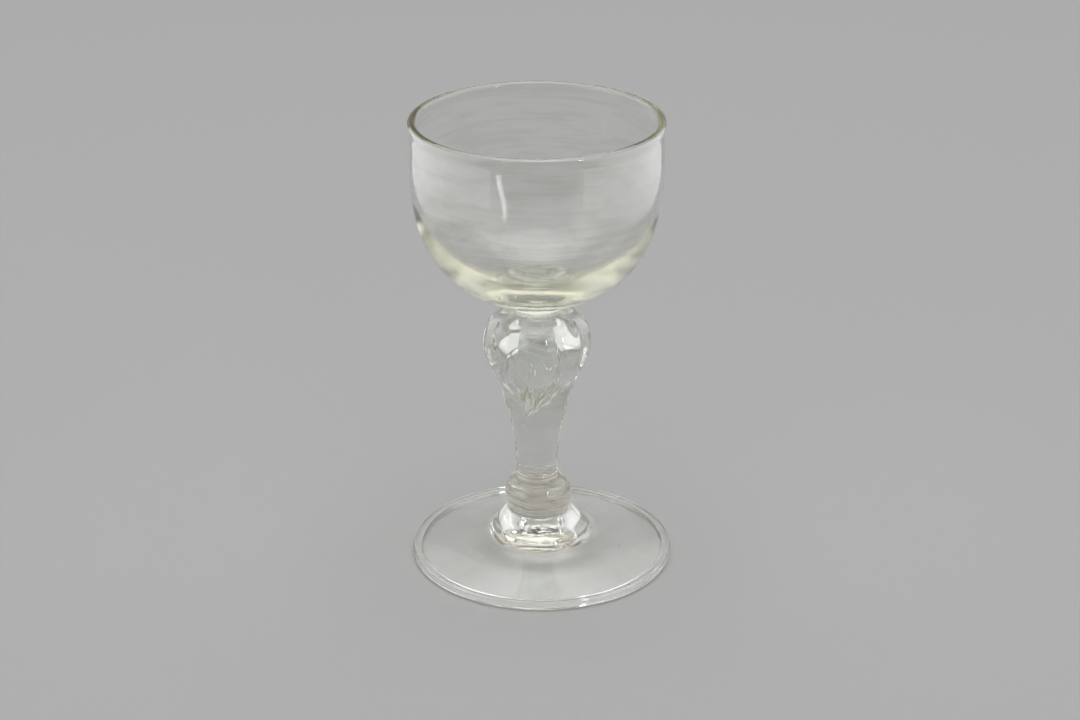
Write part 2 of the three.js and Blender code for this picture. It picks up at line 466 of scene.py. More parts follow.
@built_once
def hand_waves(name):
    """The soft unevenness of blown glass. Height is in millimetres."""
    tree, given, result = open_group(
        name,
        [("Wave Length", "Float", 0.008), ("Wave Height", "Float", 0.0015), ("Depth", "Float", 0.01)],
        [("Height", "Float")],
    )
    at = stretched(tree, given["Position"], given["Wave Length"], given["Wave Height"])
    swell = noise_value(tree, at, 1.5, Distortion=0.4)
    centred = math_node(tree, "SUBTRACT", swell, 0.5)
    tree.links.new(math_node(tree, "MULTIPLY", centred, given["Depth"]), result["Height"])
    return tree


@built_once
def fine_wear(name):
    """Scratches and specks from long use. Roughness goes to the shader, and Height is in millimetres."""
    scratch_ways = (0.35, 1.45, 2.6)
    scratch_scale = (90.0, 2600.0, 900.0)
    scratch_blur = 0.45
    scratch_cut = -0.004
    speck_scale = 420.0
    bare_share = 0.93
    tree, given, result = open_group(
        name,
        [("Polish", "Float", 0.01), ("Amount", "Float", 0.3)],
        [("Roughness", "Float"), ("Height", "Float")],
    )
    scratches = None
    for way in scratch_ways:
        laid_out = {"Vector": given["Position"], "Rotation": (0.0, 0.0, way), "Scale": scratch_scale}
        laid = place(tree, "ShaderNodeMapping", laid_out).outputs[0]
        thin = ramp(tree, noise_value(tree, laid, 0.0, Distortion=0.2), 0.72, 0.80)
        scratches = thin if scratches is None else math_node(tree, "MAXIMUM", scratches, thin)
    dust = place(tree, "ShaderNodeTexVoronoi", {"Vector": given["Position"], "Scale": speck_scale})
    speck = ramp(tree, dust.outputs["Distance"], 0.04, 0.07, low=1.0, high=0.0)
    chosen = place(tree, "ShaderNodeSeparateColor", {"Color": dust.outputs["Color"]})
    few = math_node(tree, "GREATER_THAN", chosen.outputs["Red"], bare_share)
    specks = math_node(tree, "MULTIPLY", speck, few)
    both = math_node(tree, "MAXIMUM", math_node(tree, "MULTIPLY", scratches, scratch_blur), specks)
    rough = math_node(tree, "MULTIPLY", both, math_node(tree, "MULTIPLY", given["Amount"], 0.5))
    tree.links.new(math_node(tree, "ADD", rough, given["Polish"]), result["Roughness"])
    cut = math_node(tree, "MULTIPLY", scratches, math_node(tree, "MULTIPLY", given["Amount"], scratch_cut))
    tree.links.new(cut, result["Height"])
    return tree


@built_once
def melt_tint(name):
    """Faint streaks of deeper tint where the melt wasn't even."""
    tree, given, result = open_group(
        name,
        [("Tint", "Color", None), ("Streak Tint", "Color", None), ("Amount", "Float", 1.0)],
        [("Color", "Color")],
    )
    broad = stretched(tree, given["Position"], 0.02, 0.004)
    cords = noise_value(tree, broad, 2.0, Distortion=0.6)
    thin = stretched(tree, given["Position"], 0.035, 0.0009)
    lines = noise_value(tree, thin, 2.0, Roughness=0.7)
    both = math_node(tree, "MULTIPLY", math_node(tree, "ADD", cords, lines), 0.5)
    amount = math_node(tree, "MULTIPLY", ramp(tree, both, 0.46, 0.66), given["Amount"])
    tree.links.new(blend(tree, amount, given["Tint"], given["Streak Tint"]), result["Color"])
    return tree


def clear_glass(name, axis_x, depth_colour, lines, waves, wear, density_share=1.0, streaks=1.0):
    """Blown glass: clear and smooth, tinted by its depth, with tool lines, soft waves and a little wear.

    Lines are (length, spacing, depth) and waves are (length, height, depth). The depths are in
    millimetres and the rest is in metres.
    """
    finish = bpy.context.scene.glass_finish
    material = bpy.data.materials.new(name)
    tree = cleared(material)
    here = place(tree, "ShaderNodeTexCoord").outputs["Object"]
    centred = place(tree, "ShaderNodeMapping", {"Vector": here, "Location": (-axis_x, 0.0, 0.0)}).outputs[0]

    def marks(group, labels, values):
        inputs = {"Position": centred, **dict(zip(labels, values))}
        return place(tree, "ShaderNodeGroup", inputs, node_tree=group).outputs

    tooled = marks(level_striae(), ("Line Length", "Line Spacing", "Depth"), lines)
    swell = marks(hand_waves(), ("Wave Length", "Wave Height", "Depth"), waves)
    used = marks(fine_wear(), ("Polish", "Amount"), (finish.polish, wear))
    tints = ((*finish.surface_tint, 1.0), (*finish.cord_tint, 1.0))
    melt = marks(melt_tint(), ("Tint", "Streak Tint", "Amount"), (*tints, streaks))
    height = math_node(tree, "ADD", tooled["Height"], swell["Height"])
    height = math_node(tree, "ADD", height, used["Height"])
    bump = place(tree, "ShaderNodeBump", {"Height": height, "Distance": MM, "Strength": 1.0})
    melted = place(tree, "ShaderNodeAttribute", attribute_name="fused", attribute_type="GEOMETRY")
    shown = math_node(tree, "SUBTRACT", 1.0, melted.outputs["Fac"])
    glass = place(
        tree,
        "ShaderNodeBsdfPrincipled",
        {
            "Base Color": melt["Color"],
            "Metallic": 0.0,
            "Roughness": used["Roughness"],
            "IOR": 1.52,
            "Alpha": shown,
            "Normal": bump.outputs["Normal"],
            "Transmission Weight": 1.0,
        },
    )
    depth = place(
        tree,
        "ShaderNodeVolumeAbsorption",
        {"Color": (*depth_colour, 1.0), "Density": finish.density * density_share},
    )
    place(tree, "ShaderNodeOutputMaterial", {"Surface": glass.outputs[0], "Volume": depth.outputs[0]})
    return material


# In this section and the others below, small offsets round one stretch into the next
def foot_section(sizes, fold_radius):
    """From the scar outwards under the foot, round the folded rim, and back in over plate and pad."""
    rim_centre = sizes.radius - sizes.rim_rounding
    slope = (sizes.plate_top - sizes.rim) / (rim_centre - sizes.pad_radius)
    over_fold = sizes.rim + slope * (rim_centre - fold_radius) - sizes.plate
    scar_level = sizes.dome - sizes.pontil_drop
    half = HalfSection(scar_level, UNDERSIDE)
    half.line(sizes.pontil * 0.62, scar_level, 8)
    half.bend((sizes.pontil * 0.95, scar_level), (sizes.pontil, sizes.dome), 6)
    half.bend((sizes.pad_radius, sizes.dome), (fold_radius + 0.5 * MM, over_fold - 0.1 * MM), 40)
    half.sweep(
        (fold_radius + 0.1 * MM, over_fold),
        (fold_radius - 0.15 * MM, 0.3 * MM),
        (fold_radius + 0.45 * MM, 0.0),
        8,
        EDGE,
    )
    half.line(rim_centre, 0.0, 5, SEAT)
    half.arc((rim_centre, sizes.rim_rounding), sizes.rim_rounding, -90, 0, 8, EDGE)
    half.arc((rim_centre, sizes.rim - sizes.rim_rounding), sizes.rim_rounding, 0, 90, 8)
    half.line(sizes.pad_radius + 0.6 * MM, sizes.plate_top - slope * 0.6 * MM, 44, OUTSIDE)
    half.bend(
        (sizes.pad_radius - 1.2 * MM, sizes.plate_top),
        (sizes.pad_edge + 0.15 * MM, sizes.pad_edge_height - 0.7 * MM),
        12,
    )
    half.bend(
        (sizes.pad_edge - 0.1 * MM, sizes.pad_edge_height + 0.4 * MM),
        (sizes.pad_edge - 1.0 * MM, sizes.pad_edge_height + 1.0 * MM),
        6,
    )
    half.line(sizes.seat + 0.5 * MM, sizes.height - 0.4 * MM, 16)
    half.bend((sizes.seat, sizes.height), (sizes.seat - 0.25 * MM, sizes.height), 4)
    half.line(0.0, sizes.height, 6, SEAT)
    return half


def work_foot(bm, sizes, fold_radius):
    """The wavy plate, the dented pad, the torn scar and the uneven inner edge of the fold."""

    def plate_waver(angle, height, radius):
        inside_rim = smooth_step(sizes.radius - radius, 0.5 * MM, 4 * MM)
        beyond_pad = smooth_step(radius, sizes.pad_edge, sizes.pad_radius + 2 * MM)
        swell = 0.11 * MM * waver(angle, radius, 1.6, 60.0, seed=1) * beyond_pad
        rings = 0.006 * MM * math.sin(radius / MM * 1.1) * beyond_pad
        return 0.0, (swell + rings) * inside_rim

    def pad_waver(angle, height, radius):
        on_pad = smooth_step(height, sizes.plate_top, sizes.pad_edge_height)
        below_seat = 1.0 - smooth_step(height, sizes.height - 1.2 * MM, sizes.height - 0.3 * MM)
        dent = 0.22 * waver(angle, height, 1.3, 120.0, seed=3)
        dent += 0.08 * waver(angle, height, 4.0, 300.0, seed=4)
        return dent * MM * on_pad * below_seat, 0.0

    def under_waver(angle, height, radius):
        clear = smooth_step(sizes.radius - radius, sizes.fold, sizes.fold + 5 * MM)
        past_scar = smooth_step(radius, sizes.pontil, sizes.pontil + 3 * MM)
        return 0.0, 0.10 * MM * waver(angle, radius, 1.9, 70.0, seed=2) * clear * past_scar

    def torn_scar(angle, height, radius):
        inside = 1.0 - smooth_step(radius, sizes.pontil * 0.9, sizes.pontil * 1.05)
        chips = noise.noise(Vector((math.cos(angle), math.sin(angle), 0.0)) * radius * 480.0)
        ridges = noise.noise(Vector((math.cos(angle), math.sin(angle), 0.7)) * radius * 1500.0)
        return 0.0, (0.28 * chips + 0.06 * ridges) * MM * inside

    def fold_waver(angle, height, radius):
        inner = 1.0 - smooth_step(radius, fold_radius + 0.6 * MM, fold_radius + 1.4 * MM)
        return 0.45 * MM * waver(angle, 0.0, 1.4, 0.0, seed=6) * inner, 0.0

    worked(bm, OUTSIDE, plate_waver)
    worked(bm, OUTSIDE, pad_waver)
    worked(bm, UNDERSIDE, under_waver)
    worked(bm, UNDERSIDE, torn_scar)
    worked(bm, EDGE, fold_waver)


class WINEGLASS_OT_foot(bpy.types.Operator):
    """Build the folded foot with its pad and pontil scar"""

    bl_idname = "wine_glass.foot"
    bl_label = "Foot"

    def execute(self, context):
        sizes = context.scene.foot_sizes
        finish = context.scene.glass_finish
        fold_radius = sizes.radius - sizes.fold
        bm = turned(foot_section(sizes, fold_radius), steps=240)
        work_foot(bm, sizes, fold_radius)
        leaned(bm, sizes.plate_top, sizes.height, middle_x(KNOP_BOX))
        seeded(
            bm,
            [
                (-26.5, -17.6, 5.2, 0.20),
                (24.6, -9.2, 5.7, 0.24),
                (12.0, -30.5, 4.1, 0.16),
                (-9.5, -27.4, 4.7, 0.15),
                (6.0, 28.5, 4.6, 0.17),
                (5.6, -6.8, 10.8, 0.28),
                (-7.4, -3.4, 9.6, 0.22),
            ],
        )
        fused(bm, sizes.height, KNOP_BOX, context.scene.knop_sizes.neck)
        material = clear_glass(
            "foot_clear_glass",
            0.0,
            finish.foot_depth,
            lines=(0.02, 0.0012, 0.0015),
            waves=(0.006, 0.006, 0.012),
            wear=finish.wear,
            streaks=0.2,
        )
        finished("folded_foot", bm, "foot", material)
        return {"FINISHED"}


def knop_section(sizes, height):
    """A short neck and the ball on it."""
    upper = height - sizes.widest
    belly = (sizes.radius, sizes.widest)
    half = HalfSection(0.0, SEAT)
    half.line(sizes.neck, 0.0, 6)
    half.line(sizes.neck, sizes.neck_height, 5, EDGE)
    half.bend((sizes.radius, (sizes.neck_height + sizes.widest) / 2), belly, 16, OUTSIDE)
    half.sweep(
        (sizes.radius, sizes.widest + upper / 2),
        ((sizes.radius + sizes.ring) / 2, height - 0.75 * MM),
        (sizes.ring, height),
        36,
    )
    half.line(0.0, height, 6, SEAT)
    return half


def ring_section(outer, face, height):
    """Two rolls, the lower one fuller, with a faint groove between them."""
    half = HalfSection(0.0, SEAT)
    half.line(face, 0.0, 5)
    half.bend((outer + 0.32 * MM, 0.22 * height), (face + 0.05 * MM, 0.46 * height), 10, OUTSIDE)
    half.bend((face - 0.05 * MM, 0.5 * height), (face + 0.05 * MM, 0.56 * height), 4)
    half.bend((outer + 0.15 * MM, 0.8 * height), (face, height), 10)
    half.line(0.0, height, 5, SEAT)
    return half


class WINEGLASS_OT_knop(bpy.types.Operator):
    """Build the ball knop with its tool rings, and the ring on it"""

    bl_idname = "wine_glass.knop"
    bl_label = "Knop and ring"

    def execute(self, context):
        sizes = context.scene.knop_sizes
        finish = context.scene.glass_finish
        ring_face = sizes.ring - 0.25 * MM
        self.knop(sizes, finish, ring_face)
        self.ring(sizes, finish, ring_face)
        return {"FINISHED"}

    def knop(self, sizes, finish, ring_face):
        low = KNOP_BOX[0].z + JOINT_GAP / 2
        height = KNOP_BOX[1].z - KNOP_BOX[0].z
        bm = turned(knop_section(sizes, height), steps=160)

        def tool_rings(angle, at, radius):
            clear = smooth_step(at, sizes.neck_height, sizes.neck_height + 1.2 * MM)
            clear *= 1.0 - smooth_step(at, height - 1.0 * MM, height - 0.2 * MM)
            drift = 0.35 * waver(angle, 0.0, 1.2, 0.0, seed=11)
            turn = (at / sizes.groove_pitch + drift) * math.tau
            broad = sizes.groove * (0.5 + 0.5 * math.cos(turn)) ** 2
            fine = sizes.fine_groove * (0.5 + 0.5 * math.sin(3.0 * turn + 1.0))
            uneven = 0.8 + 0.7 * waver(angle, at, 1.5, 180.0, seed=12)
            swell = 0.16 * MM * waver(angle, at, 1.3, 130.0, seed=13)
            return ((-broad - fine) * uneven + swell - 0.05 * MM) * clear, 0.0

        worked(bm, OUTSIDE, tool_rings)
        leaned(bm, sizes.widest, height, middle_x(RING_BOX) - middle_x(KNOP_BOX))
        stood(bm, KNOP_BOX, low)
        seeded(bm, [(-4.6, -5.8, 20.6, 0.24), (3.7, -4.1, 22.9, 0.18)])
        fused(bm, low, KNOP_BOX, sizes.neck + 1 * MM)
        fused(bm, KNOP_BOX[1].z + JOINT_GAP / 2, RING_BOX, ring_face)
        # The knop's warmer, denser tint is partly painted warm light, not only the colour of the glass
        material = clear_glass(
            "knop_clear_glass",
            middle_x(KNOP_BOX),
            finish.knop_depth,
            lines=(0.02, 0.0009, 0.004),
            waves=(0.008, 0.003, 0.02),
            wear=0.2,
            density_share=1.6,
        )
        finished("ball_knop", bm, "knop", material)

    def ring(self, sizes, finish, ring_face):
        low = RING_BOX[0].z + JOINT_GAP
        bm = turned(ring_section(sizes.ring, ring_face, RING_BOX[1].z - low), steps=144)
        worked(
            bm, OUTSIDE, lambda angle, at, radius: (0.05 * MM * waver(angle, at, 1.6, 200.0, seed=14), 0.0)
        )
        stood(bm, RING_BOX, low)
        fused(bm, low, RING_BOX, ring_face + 1 * MM)
        fused(bm, RING_BOX[1].z, RING_BOX, ring_face - 0.25 * MM)
        material = clear_glass(
            "ring_clear_glass",
            middle_x(RING_BOX),
            finish.stem_depth,
            lines=(0.02, 0.0008, 0.003),
            waves=(0.004, 0.004, 0.01),
            wear=0.2,
        )
        finished("stem_ring", bm, "neck_ring", material)


def stem_section(sizes, height, face, seat, tear_widest, tear_tip):
    """Up the shank and over the shoulder, then down the tear inside it."""
    shoulder = height - sizes.shoulder_drop
    throat = height - 2.4 * MM
    upper = (throat + tear_widest) / 2
    lower = (tear_widest + tear_tip) / 2
    half = HalfSection(0.0, SEAT)
    half.line(face, 0.0, 5)
    half.line(sizes.shank, 2.0 * MM, 5, OUTSIDE)
    half.sweep(
        (sizes.shank + 0.7 * MM, 26.3 * MM),
        (sizes.shoulder, shoulder - 4.8 * MM),
        (sizes.shoulder, shoulder),
        84,
    )
    half.sweep((sizes.shoulder, shoulder + 7.0 * MM), (seat + 8.0 * MM, height), (seat, height), 44)
    half.line(sizes.mouth, height, 5, SEAT)
    half.line(sizes.mouth, throat, 6, INSIDE)
    half.sweep((sizes.mouth, upper), (sizes.tear, upper), (sizes.tear, tear_widest), 36)
    half.sweep((sizes.tear, lower), (sizes.mouth * 0.8, lower), (0.0, tear_tip), 56)
    return half


def work_stem(bm, sizes, height, tear_widest, tear_tip):
    """The mould's lobes with their rounded toes, and the folds towards the tear's tip."""
    toe_crown = height - 20.5 * MM
    toe_arch = 3.4 * MM
    tool_mark = 9.2 * MM
    tool_width = 1.3 * MM

    def lobes(angle, at, radius):
        hollow = (1.0 - abs(math.cos(LOBES / 2 * angle))) ** 1.3
        toe_height = toe_crown + toe_arch * hollow
        toe = smooth_step(at, toe_height, toe_height + 2.2 * MM)
        crown = 1.0 - smooth_step(at, height - 2.6 * MM, height - 0.2 * MM)
        depth = (sizes.rib_depth + (sizes.lobe_depth - sizes.rib_depth) * toe) * crown
        below_toe = (1.0 - toe) * smooth_step(at, toe_height - 10 * MM, toe_height - 1 * MM)
        uneven = 1.0 + 0.35 * waver(angle, at, 1.3, 25.0, seed=21)
        above_face = smooth_step(at, 0.3 * MM, 2.5 * MM)
        swell = 0.10 * MM * waver(angle, at, 1.4, 70.0, seed=22)
        rings = 0.08 * MM * math.exp(-(((at - tool_mark) / tool_width) ** 2)) * math.sin(at / MM * 4.2)
        step = sizes.toe_step * below_toe
        return (-hollow * depth * uneven - step + (swell + rings) * above_face * crown), 0.0

    def tear_folds(angle, at, radius):
        deep = smooth_step(tear_widest + 5 * MM - at, 0.0, 8 * MM)
        deep *= smooth_step(at, tear_tip, tear_tip + 6 * MM)
        turn = TEAR_FOLDS / 2 * angle - 0.92 + 0.5 * waver(angle, at, 0.9, 40.0, seed=23)
        fold = abs(math.cos(turn)) ** 0.8 - 0.65
        neck = smooth_step(height - at, 0.5 * MM, 5 * MM)
        swell = 0.22 * MM * waver(angle, at, 1.2, 80.0, seed=24) * neck
        thin = min(radius / (4 * MM), 1.0)
        return (sizes.tear_fold * fold * deep + swell) * thin, 0.0

    worked(bm, OUTSIDE, lobes)
    worked(bm, INSIDE, tear_folds)
    skin = bm.verts.layers.int["skin"]
    for vert in bm.verts:
        if vert[skin] == INSIDE:
            way_down = max(0.0, tear_widest - vert.co.z) / (tear_widest - tear_tip)
            vert.co.x -= sizes.lean * way_down * way_down


class WINEGLASS_OT_stem(bpy.types.Operator):
    """Build the moulded stem round its tear of air"""

    bl_idname = "wine_glass.stem"
    bl_label = "Stem"

    def execute(self, context):
        sizes = context.scene.stem_sizes
        collar = context.scene.bowl_sizes.collar
        low = STEM_BOX[0].z + JOINT_GAP
        height = STEM_BOX[1].z - low
        face = context.scene.knop_sizes.ring - 0.5 * MM
        tear_widest = height - 12.6 * MM
        tear_tip = height - sizes.tear_length
        section = stem_section(sizes, height, face, collar + 0.25 * MM, tear_widest, tear_tip)
        bm = turned(section, steps=192)
        work_stem(bm, sizes, height, tear_widest, tear_tip)
        stood(bm, STEM_BOX, low)
        seeded(bm, [(-4.6, -0.6, 45.6, 0.30), (1.4, -2.2, 40.4, 0.16), (-3.9, 1.5, 36.2, 0.14)])
        fused(bm, low, STEM_BOX, face + 1 * MM)
        fused(bm, STEM_BOX[1].z, STEM_BOX, collar)
        material = clear_glass(
            "stem_clear_glass",
            middle_x(STEM_BOX),
            context.scene.glass_finish.stem_depth,
            lines=(0.012, 0.0015, 0.003),
            waves=(0.007, 0.010, 0.02),
            wear=0.15,
        )
        finished("moulded_stem", bm, "stem", material)
        return {"FINISHED"}


def collar_section(sizes, mouth, height):
    """A low cone of four rolled rings, on a flat face that is bare over the tear's mouth."""
    rings = 4
    top_radius = sizes.seat + 0.25 * MM
    half = HalfSection(0.0, SEAT)
    half.line(mouth, 0.0, 5)
    half.line(sizes.collar, 0.0, 5)
    for ring in range(rings):
        stop = sizes.collar + (top_radius - sizes.collar) * (ring + 1) / rings
        bottom, top = height * ring / rings, height * (ring + 1) / rings
        handle = (stop + 0.20 * MM, bottom + 0.1 * (top - bottom))
        half.bend(handle, (stop - 0.06 * MM if ring < rings - 1 else stop, top), 8, OUTSIDE)
    half.line(0.0, height, 6, SEAT)
    return half


class WINEGLASS_OT_collar(bpy.types.Operator):
    """Build the ringed collar under the bowl"""

    bl_idname = "wine_glass.collar"
    bl_label = "Collar"

    def execute(self, context):
        sizes = context.scene.bowl_sizes
        mouth = context.scene.stem_sizes.mouth
        low = COLLAR_BOX[0].z + JOINT_GAP
        bm = turned(collar_section(sizes, mouth, COLLAR_BOX[1].z - low), steps=160)
        stood(bm, COLLAR_BOX, low)
        fused(bm, low, COLLAR_BOX, sizes.collar + 1 * MM, inner=mouth)
        fused(bm, COLLAR_BOX[1].z, COLLAR_BOX, sizes.seat - sizes.crease)
        material = clear_glass(
            "collar_clear_glass",
            middle_x(COLLAR_BOX),
            context.scene.glass_finish.stem_depth,
            lines=(0.02, 0.0006, 0.004),
            waves=(0.004, 0.003, 0.012),
            wear=0.2,
        )
        finished("ringed_collar", bm, "bowl_collar", material)
        return {"FINISHED"}


def bowl_section(sizes, lip_centre):
    """From the seat up the outside, over the lip, and down the cup to its middle."""
    cup = sizes.radius - sizes.wall
    cup_bend = 38.4 * MM
    widest = 44.4 * MM
    lip_neck = (38.3 * MM, 56.0 * MM)
    belly = (sizes.radius, widest)
    half = HalfSection(0.0, SEAT)
    half.line(sizes.seat - sizes.crease, 0.0, 6)
    half.bend(
        (sizes.seat - 0.55 * sizes.crease, 0.9 * sizes.crease),
        (sizes.seat - 0.1 * sizes.crease, 0.0),
        12,
        OUTSIDE,
    )
    half.line(sizes.seat, 0.0, 1, SEAT)
    half.bend((sizes.seat - 0.1 * MM, 0.5 * MM), (sizes.seat + 0.9 * MM, 0.75 * MM), 8, OUTSIDE)
    half.sweep((sizes.seat + 8.5 * MM, 5.0 * MM), (sizes.radius, widest - 36.0 * MM), belly, 84)
    half.line(*lip_neck, 12)
    half.arc(lip_centre, sizes.lip_rounding, 0, 180, 20, EDGE)
    half.line(cup, lip_neck[1], 3, INSIDE)
    half.line(cup, cup_bend, 20)
    half.sweep((cup, 18.4 * MM), (21.0 * MM, sizes.base), (0.0, sizes.base), 84)
    return half


def work_bowl(bm, sizes, lip_top):
    """The soft waves of the blown wall, the level lines in it and the uneven lip."""

    def hull_waver(angle, at, radius):
        clear = smooth_step(at, 0.5 * MM, 6 * MM)
        soft = 0.5 * waver(angle, at, 1.1, 22.0, seed=31) + 0.25 * waver(angle, at, 2.6, 60.0, seed=32)
        level = 0.05 * waver(angle, at, 0.9, 420.0, seed=33)
        return sizes.waver * (soft + level) * clear, 0.0

    def cup_waver(angle, at, radius):
        below_lip = 1.0 - smooth_step(at, lip_top - 3 * MM, lip_top)
        near_axis = smooth_step(radius, 0.0, 12 * MM)
        soft = 0.9 * waver(angle, at, 1.2, 26.0, seed=34) + 0.45 * waver(angle, at, 3.2, 75.0, seed=35)
        soft += 0.16 * waver(angle, at, 7.0, 260.0, seed=39)
        level = 0.10 * waver(angle, at, 0.9, 380.0, seed=36)
        step = sizes.waver * (soft + level) * below_lip * near_axis
        steep = smooth_step(at, 12 * MM, 30 * MM)
        return step * steep, -step * (1.0 - steep)

    def lip_waver(angle, at, radius):
        rise = smooth_step(at, lip_top, lip_top + sizes.lip_rounding)
        dip = 0.14 * MM * (0.5 + 0.5 * waver(angle, 0.0, 1.3, 0.0, seed=38))
        return 0.06 * MM * waver(angle, 0.0, 1.2, 0.0, seed=37), -dip * rise

    worked(bm, OUTSIDE, hull_waver)
    worked(bm, INSIDE, cup_waver)
    worked(bm, EDGE, lip_waver)


class WINEGLASS_OT_bowl(bpy.types.Operator):
    """Build the round bowl with its thick base and polished lip"""

    bl_idname = "wine_glass.bowl"
    bl_label = "Bowl"

    def execute(self, context):
        sizes = context.scene.bowl_sizes
        low = BOWL_BOX[0].z + JOINT_GAP
        height = BOWL_BOX[1].z - low
        lip_centre = (sizes.lip - sizes.lip_rounding, height - sizes.lip_rounding)
        bm = turned(bowl_section(sizes, lip_centre), steps=224)
        work_bowl(bm, sizes, lip_centre[1])
        stood(bm, BOWL_BOX, low)
        seeded(
            bm,
            [
                (-20.0, -19.0, 99.5, 0.18),
                (-8.5, -14.0, 91.6, 0.15),
                (21.0, -17.5, 98.4, 0.17),
                (11.5, 15.0, 92.2, 0.16),
            ],
        )
        fused(bm, low, BOWL_BOX, sizes.seat - sizes.crease)
        material = clear_glass(
            "bowl_clear_glass",
            middle_x(BOWL_BOX),
            context.scene.glass_finish.bowl_depth,
            lines=(0.05, 0.0009, 0.034),
            waves=(0.012, 0.005, 0.030),
            wear=0.12,
            streaks=1.6,
        )
        finished("round_bowl", bm, "bowl", material)
        return {"FINISHED"}


class Hung(NamedTuple):
    """Where a lamp hangs on the right or in the middle, the point that it faces, and its size, in metres."""

    at: tuple
    towards: tuple
    size: tuple


SIDE_PANEL = Hung((0.72, -0.15, 0.745), (0.0, -0.15, 0.50), (1.4, 0.95))
BACK_PANEL = Hung((0.575, 0.64, 0.47), (0.0, 0.0, 0.10), (0.70, 0.62))
LOW_PANEL = Hung((0.16, 0.0, 0.13), (0.0, 0.0, 0.13), (0.40, 0.16))
FRONT_STRIP = Hung((0.62, -0.78, 0.52), (0.0, 0.0, 0.10), (0.08, 0.4))
TOP_PANEL = Hung((0.0, 0.05, 1.9), (0.0, 0.05, 0.0), (1.6, 1.2))

# The photograph was taken from here, looking down by this many degrees
CAMERA_AT = (-0.00055, -0.7090, 0.3747)
CAMERA_DOWN = 23.52

# The table runs on past the edge of every view
TABLE_RADIUS = 6.0

# Light runs round inside the bowl's wall and lip for dozens of bounces before it comes out
BOUNCES = 96

# Light passes this many fused faces and lamps, which all let it through
CLEAR_PASSES = 64


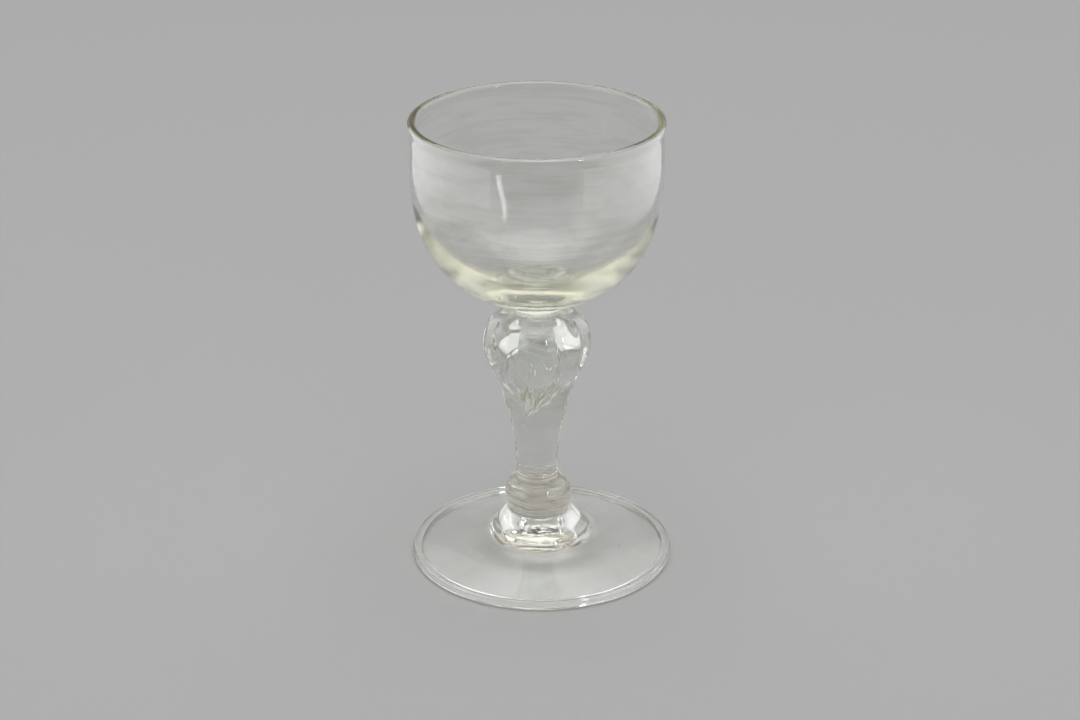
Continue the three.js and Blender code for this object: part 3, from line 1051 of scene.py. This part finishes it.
class WINEGLASS_OT_stage(bpy.types.Operator):
    """Set the table, the soft panels, the room and the camera"""

    bl_idname = "wine_glass.stage"
    bl_label = "Stage"

    def execute(self, context):
        look = context.scene.stage_look
        self.table(look)
        self.room(look)
        for side, name in ((-1, "left"), (1, "right")):
            self.lamp(name + "_panel", look.panel, SIDE_PANEL, side)
            self.lamp(name + "_back_panel", look.back, BACK_PANEL, side)
            self.lamp(name + "_low_panel", look.low, LOW_PANEL, side, shine=True)
        self.lamp("front_strip", look.front, FRONT_STRIP)
        self.lamp("top_panel", look.top, TOP_PANEL, on_table=True)
        self.camera(context.scene, look)
        context.scene.view_settings.view_transform = "Standard"
        self.light_paths(context.scene.cycles)
        return {"FINISHED"}

    def camera(self, scene, look):
        camera_data = bpy.data.cameras.new("photo_view")
        camera_data.sensor_width = 36.0
        camera_data.lens = look.lens
        camera_data.clip_start = 0.01
        camera = bpy.data.objects.new("photo_view", camera_data)
        camera.location = CAMERA_AT
        camera.rotation_euler = (math.radians(90.0 - CAMERA_DOWN), 0.0, 0.0)
        scene.collection.objects.link(camera)
        scene.camera = camera

    def light_paths(self, cycles):
        """Lets light go as far as glass needs, and keeps its mirror images sharp."""
        cycles.max_bounces = BOUNCES
        cycles.transmission_bounces = BOUNCES
        cycles.glossy_bounces = BOUNCES
        cycles.transparent_max_bounces = CLEAR_PASSES
        cycles.blur_glossy = 0.0

    def table(self, look):
        bm = bmesh.new()
        bmesh.ops.create_circle(bm, cap_ends=True, segments=96, radius=TABLE_RADIUS)
        bmesh.ops.translate(bm, verts=bm.verts[:], vec=(0.0, 0.0, -TABLE_GAP))
        mesh = bpy.data.meshes.new("pale_table")
        bm.to_mesh(mesh)
        bm.free()
        mesh.materials.append(self.paper(look.floor))
        table = bpy.data.objects.new("pale_table", mesh)
        bpy.context.scene.collection.objects.link(table)

    def paper(self, floor):
        """Matt paper with a faint tooth."""
        material = bpy.data.materials.new("pale_table")
        tree = cleared(material)
        here = place(tree, "ShaderNodeTexCoord").outputs["Object"]
        tone = ramp(tree, noise_value(tree, here, 2.0, scale=900.0), 0.3, 0.7, low=0.985, high=1.015)
        shade = place(tree, "ShaderNodeVectorMath", {0: tuple(floor), "Scale": tone}, operation="SCALE")
        matt = place(
            tree,
            "ShaderNodeBsdfPrincipled",
            {"Base Color": shade.outputs[0], "Roughness": 0.9, "Specular IOR Level": 0.0},
        )
        place(tree, "ShaderNodeOutputMaterial", {"Surface": matt.outputs[0]})
        return material

    def room(self, look):
        """Plain at the table's height, darker at the walls above it and bright at the ceiling."""
        world = bpy.data.worlds.new("studio")
        bpy.context.scene.world = world
        tree = cleared(world)
        way = place(tree, "ShaderNodeTexCoord").outputs["Generated"]
        up = place(tree, "ShaderNodeSeparateXYZ", {"Vector": way}).outputs["Z"]
        shade = (*look.room, 1.0)
        for start, stop, tone in ((0.10, 0.30, look.wall), (0.62, 0.85, (look.ceiling,) * 3)):
            shade = blend(tree, ramp(tree, up, start, stop, soft=True), shade, (*tone, 1.0))
        light = place(tree, "ShaderNodeBackground", {"Color": shade, "Strength": 1.0})
        place(tree, "ShaderNodeOutputWorld", {"Surface": light.outputs[0]})

    def lamp(self, name, watts, hung, side=1, on_table=False, shine=False):
        """Hangs a soft rectangular lamp, mirrored to the left where side is -1.

        Only the glass shows it, unless it lights the table. A lamp for shine shows where the glass
        mirrors it and not through the glass.
        """
        light = bpy.data.lights.new(name, "AREA")
        light.shape = "RECTANGLE"
        light.size, light.size_y = hung.size
        light.energy = watts
        holder = bpy.data.objects.new(name, light)
        holder.location = (side * hung.at[0], *hung.at[1:])
        way = Vector(hung.towards) - holder.location
        holder.rotation_euler = way.to_track_quat("-Z", "Y").to_euler()
        holder.visible_camera = False
        holder.visible_diffuse = on_table
        holder.visible_transmission = not shine
        bpy.context.scene.collection.objects.link(holder)
        self.soft_cloth(light)

    def soft_cloth(self, light):
        """Dims a lamp towards its edges, as the cloth over a studio lamp does."""
        edge = 0.45
        middle = 1.10
        even_part = 0.12
        tree = cleared(light)
        spot = place(tree, "ShaderNodeNewGeometry").outputs["Parametric"]
        across = place(tree, "ShaderNodeSeparateXYZ", {"Vector": spot})
        bright = middle - edge
        for axis in ("X", "Y"):
            off_centre = math_node(tree, "ABSOLUTE", math_node(tree, "SUBTRACT", across.outputs[axis], 0.5))
            inside = ramp(tree, off_centre, even_part, 0.5, low=1.0, high=0.0, soft=True)
            bright = math_node(tree, "MULTIPLY", bright, inside)
        glow = place(tree, "ShaderNodeEmission", {"Strength": math_node(tree, "ADD", bright, edge)})
        place(tree, "ShaderNodeOutputLight", {"Surface": glow.outputs[0]})


BUILD_ORDER = (
    WINEGLASS_OT_foot,
    WINEGLASS_OT_knop,
    WINEGLASS_OT_stem,
    WINEGLASS_OT_collar,
    WINEGLASS_OT_bowl,
    WINEGLASS_OT_stage,
)
SETTINGS = {
    "foot_sizes": FootSizes,
    "knop_sizes": KnopSizes,
    "stem_sizes": StemSizes,
    "bowl_sizes": BowlSizes,
    "glass_finish": GlassFinish,
    "stage_look": StageLook,
}


class WINEGLASS_PT_sidebar(bpy.types.Panel):
    """Lists the gathers of the glass with their sizes."""

    bl_idname = "WINEGLASS_PT_sidebar"
    bl_label = "Wine Glass"
    bl_space_type = "VIEW_3D"
    bl_region_type = "UI"
    bl_category = "Wine Glass"

    def draw(self, context):
        for operator in BUILD_ORDER:
            self.layout.operator(operator.bl_idname)
        for name, group in SETTINGS.items():
            box = self.layout.box()
            box.label(text=group.__doc__)
            for field in group.__annotations__:
                box.prop(getattr(context.scene, name), field)


def register():
    for group in SETTINGS.values():
        bpy.utils.register_class(group)
    for operator in BUILD_ORDER:
        bpy.utils.register_class(operator)
    bpy.utils.register_class(WINEGLASS_PT_sidebar)
    for name, group in SETTINGS.items():
        setattr(bpy.types.Scene, name, bpy.props.PointerProperty(type=group))


def unregister():
    for name in SETTINGS:
        delattr(bpy.types.Scene, name)
    for known in (WINEGLASS_PT_sidebar, *reversed(BUILD_ORDER), *reversed(SETTINGS.values())):
        bpy.utils.unregister_class(known)


def main():
    """Builds the glass and its stage."""
    register()
    bpy.ops.wine_glass.foot()
    bpy.ops.wine_glass.knop()
    bpy.ops.wine_glass.stem()
    bpy.ops.wine_glass.collar()
    bpy.ops.wine_glass.bowl()
    bpy.ops.wine_glass.stage()
    bpy.context.view_layer.update()


if __name__ == "__main__":
    main()
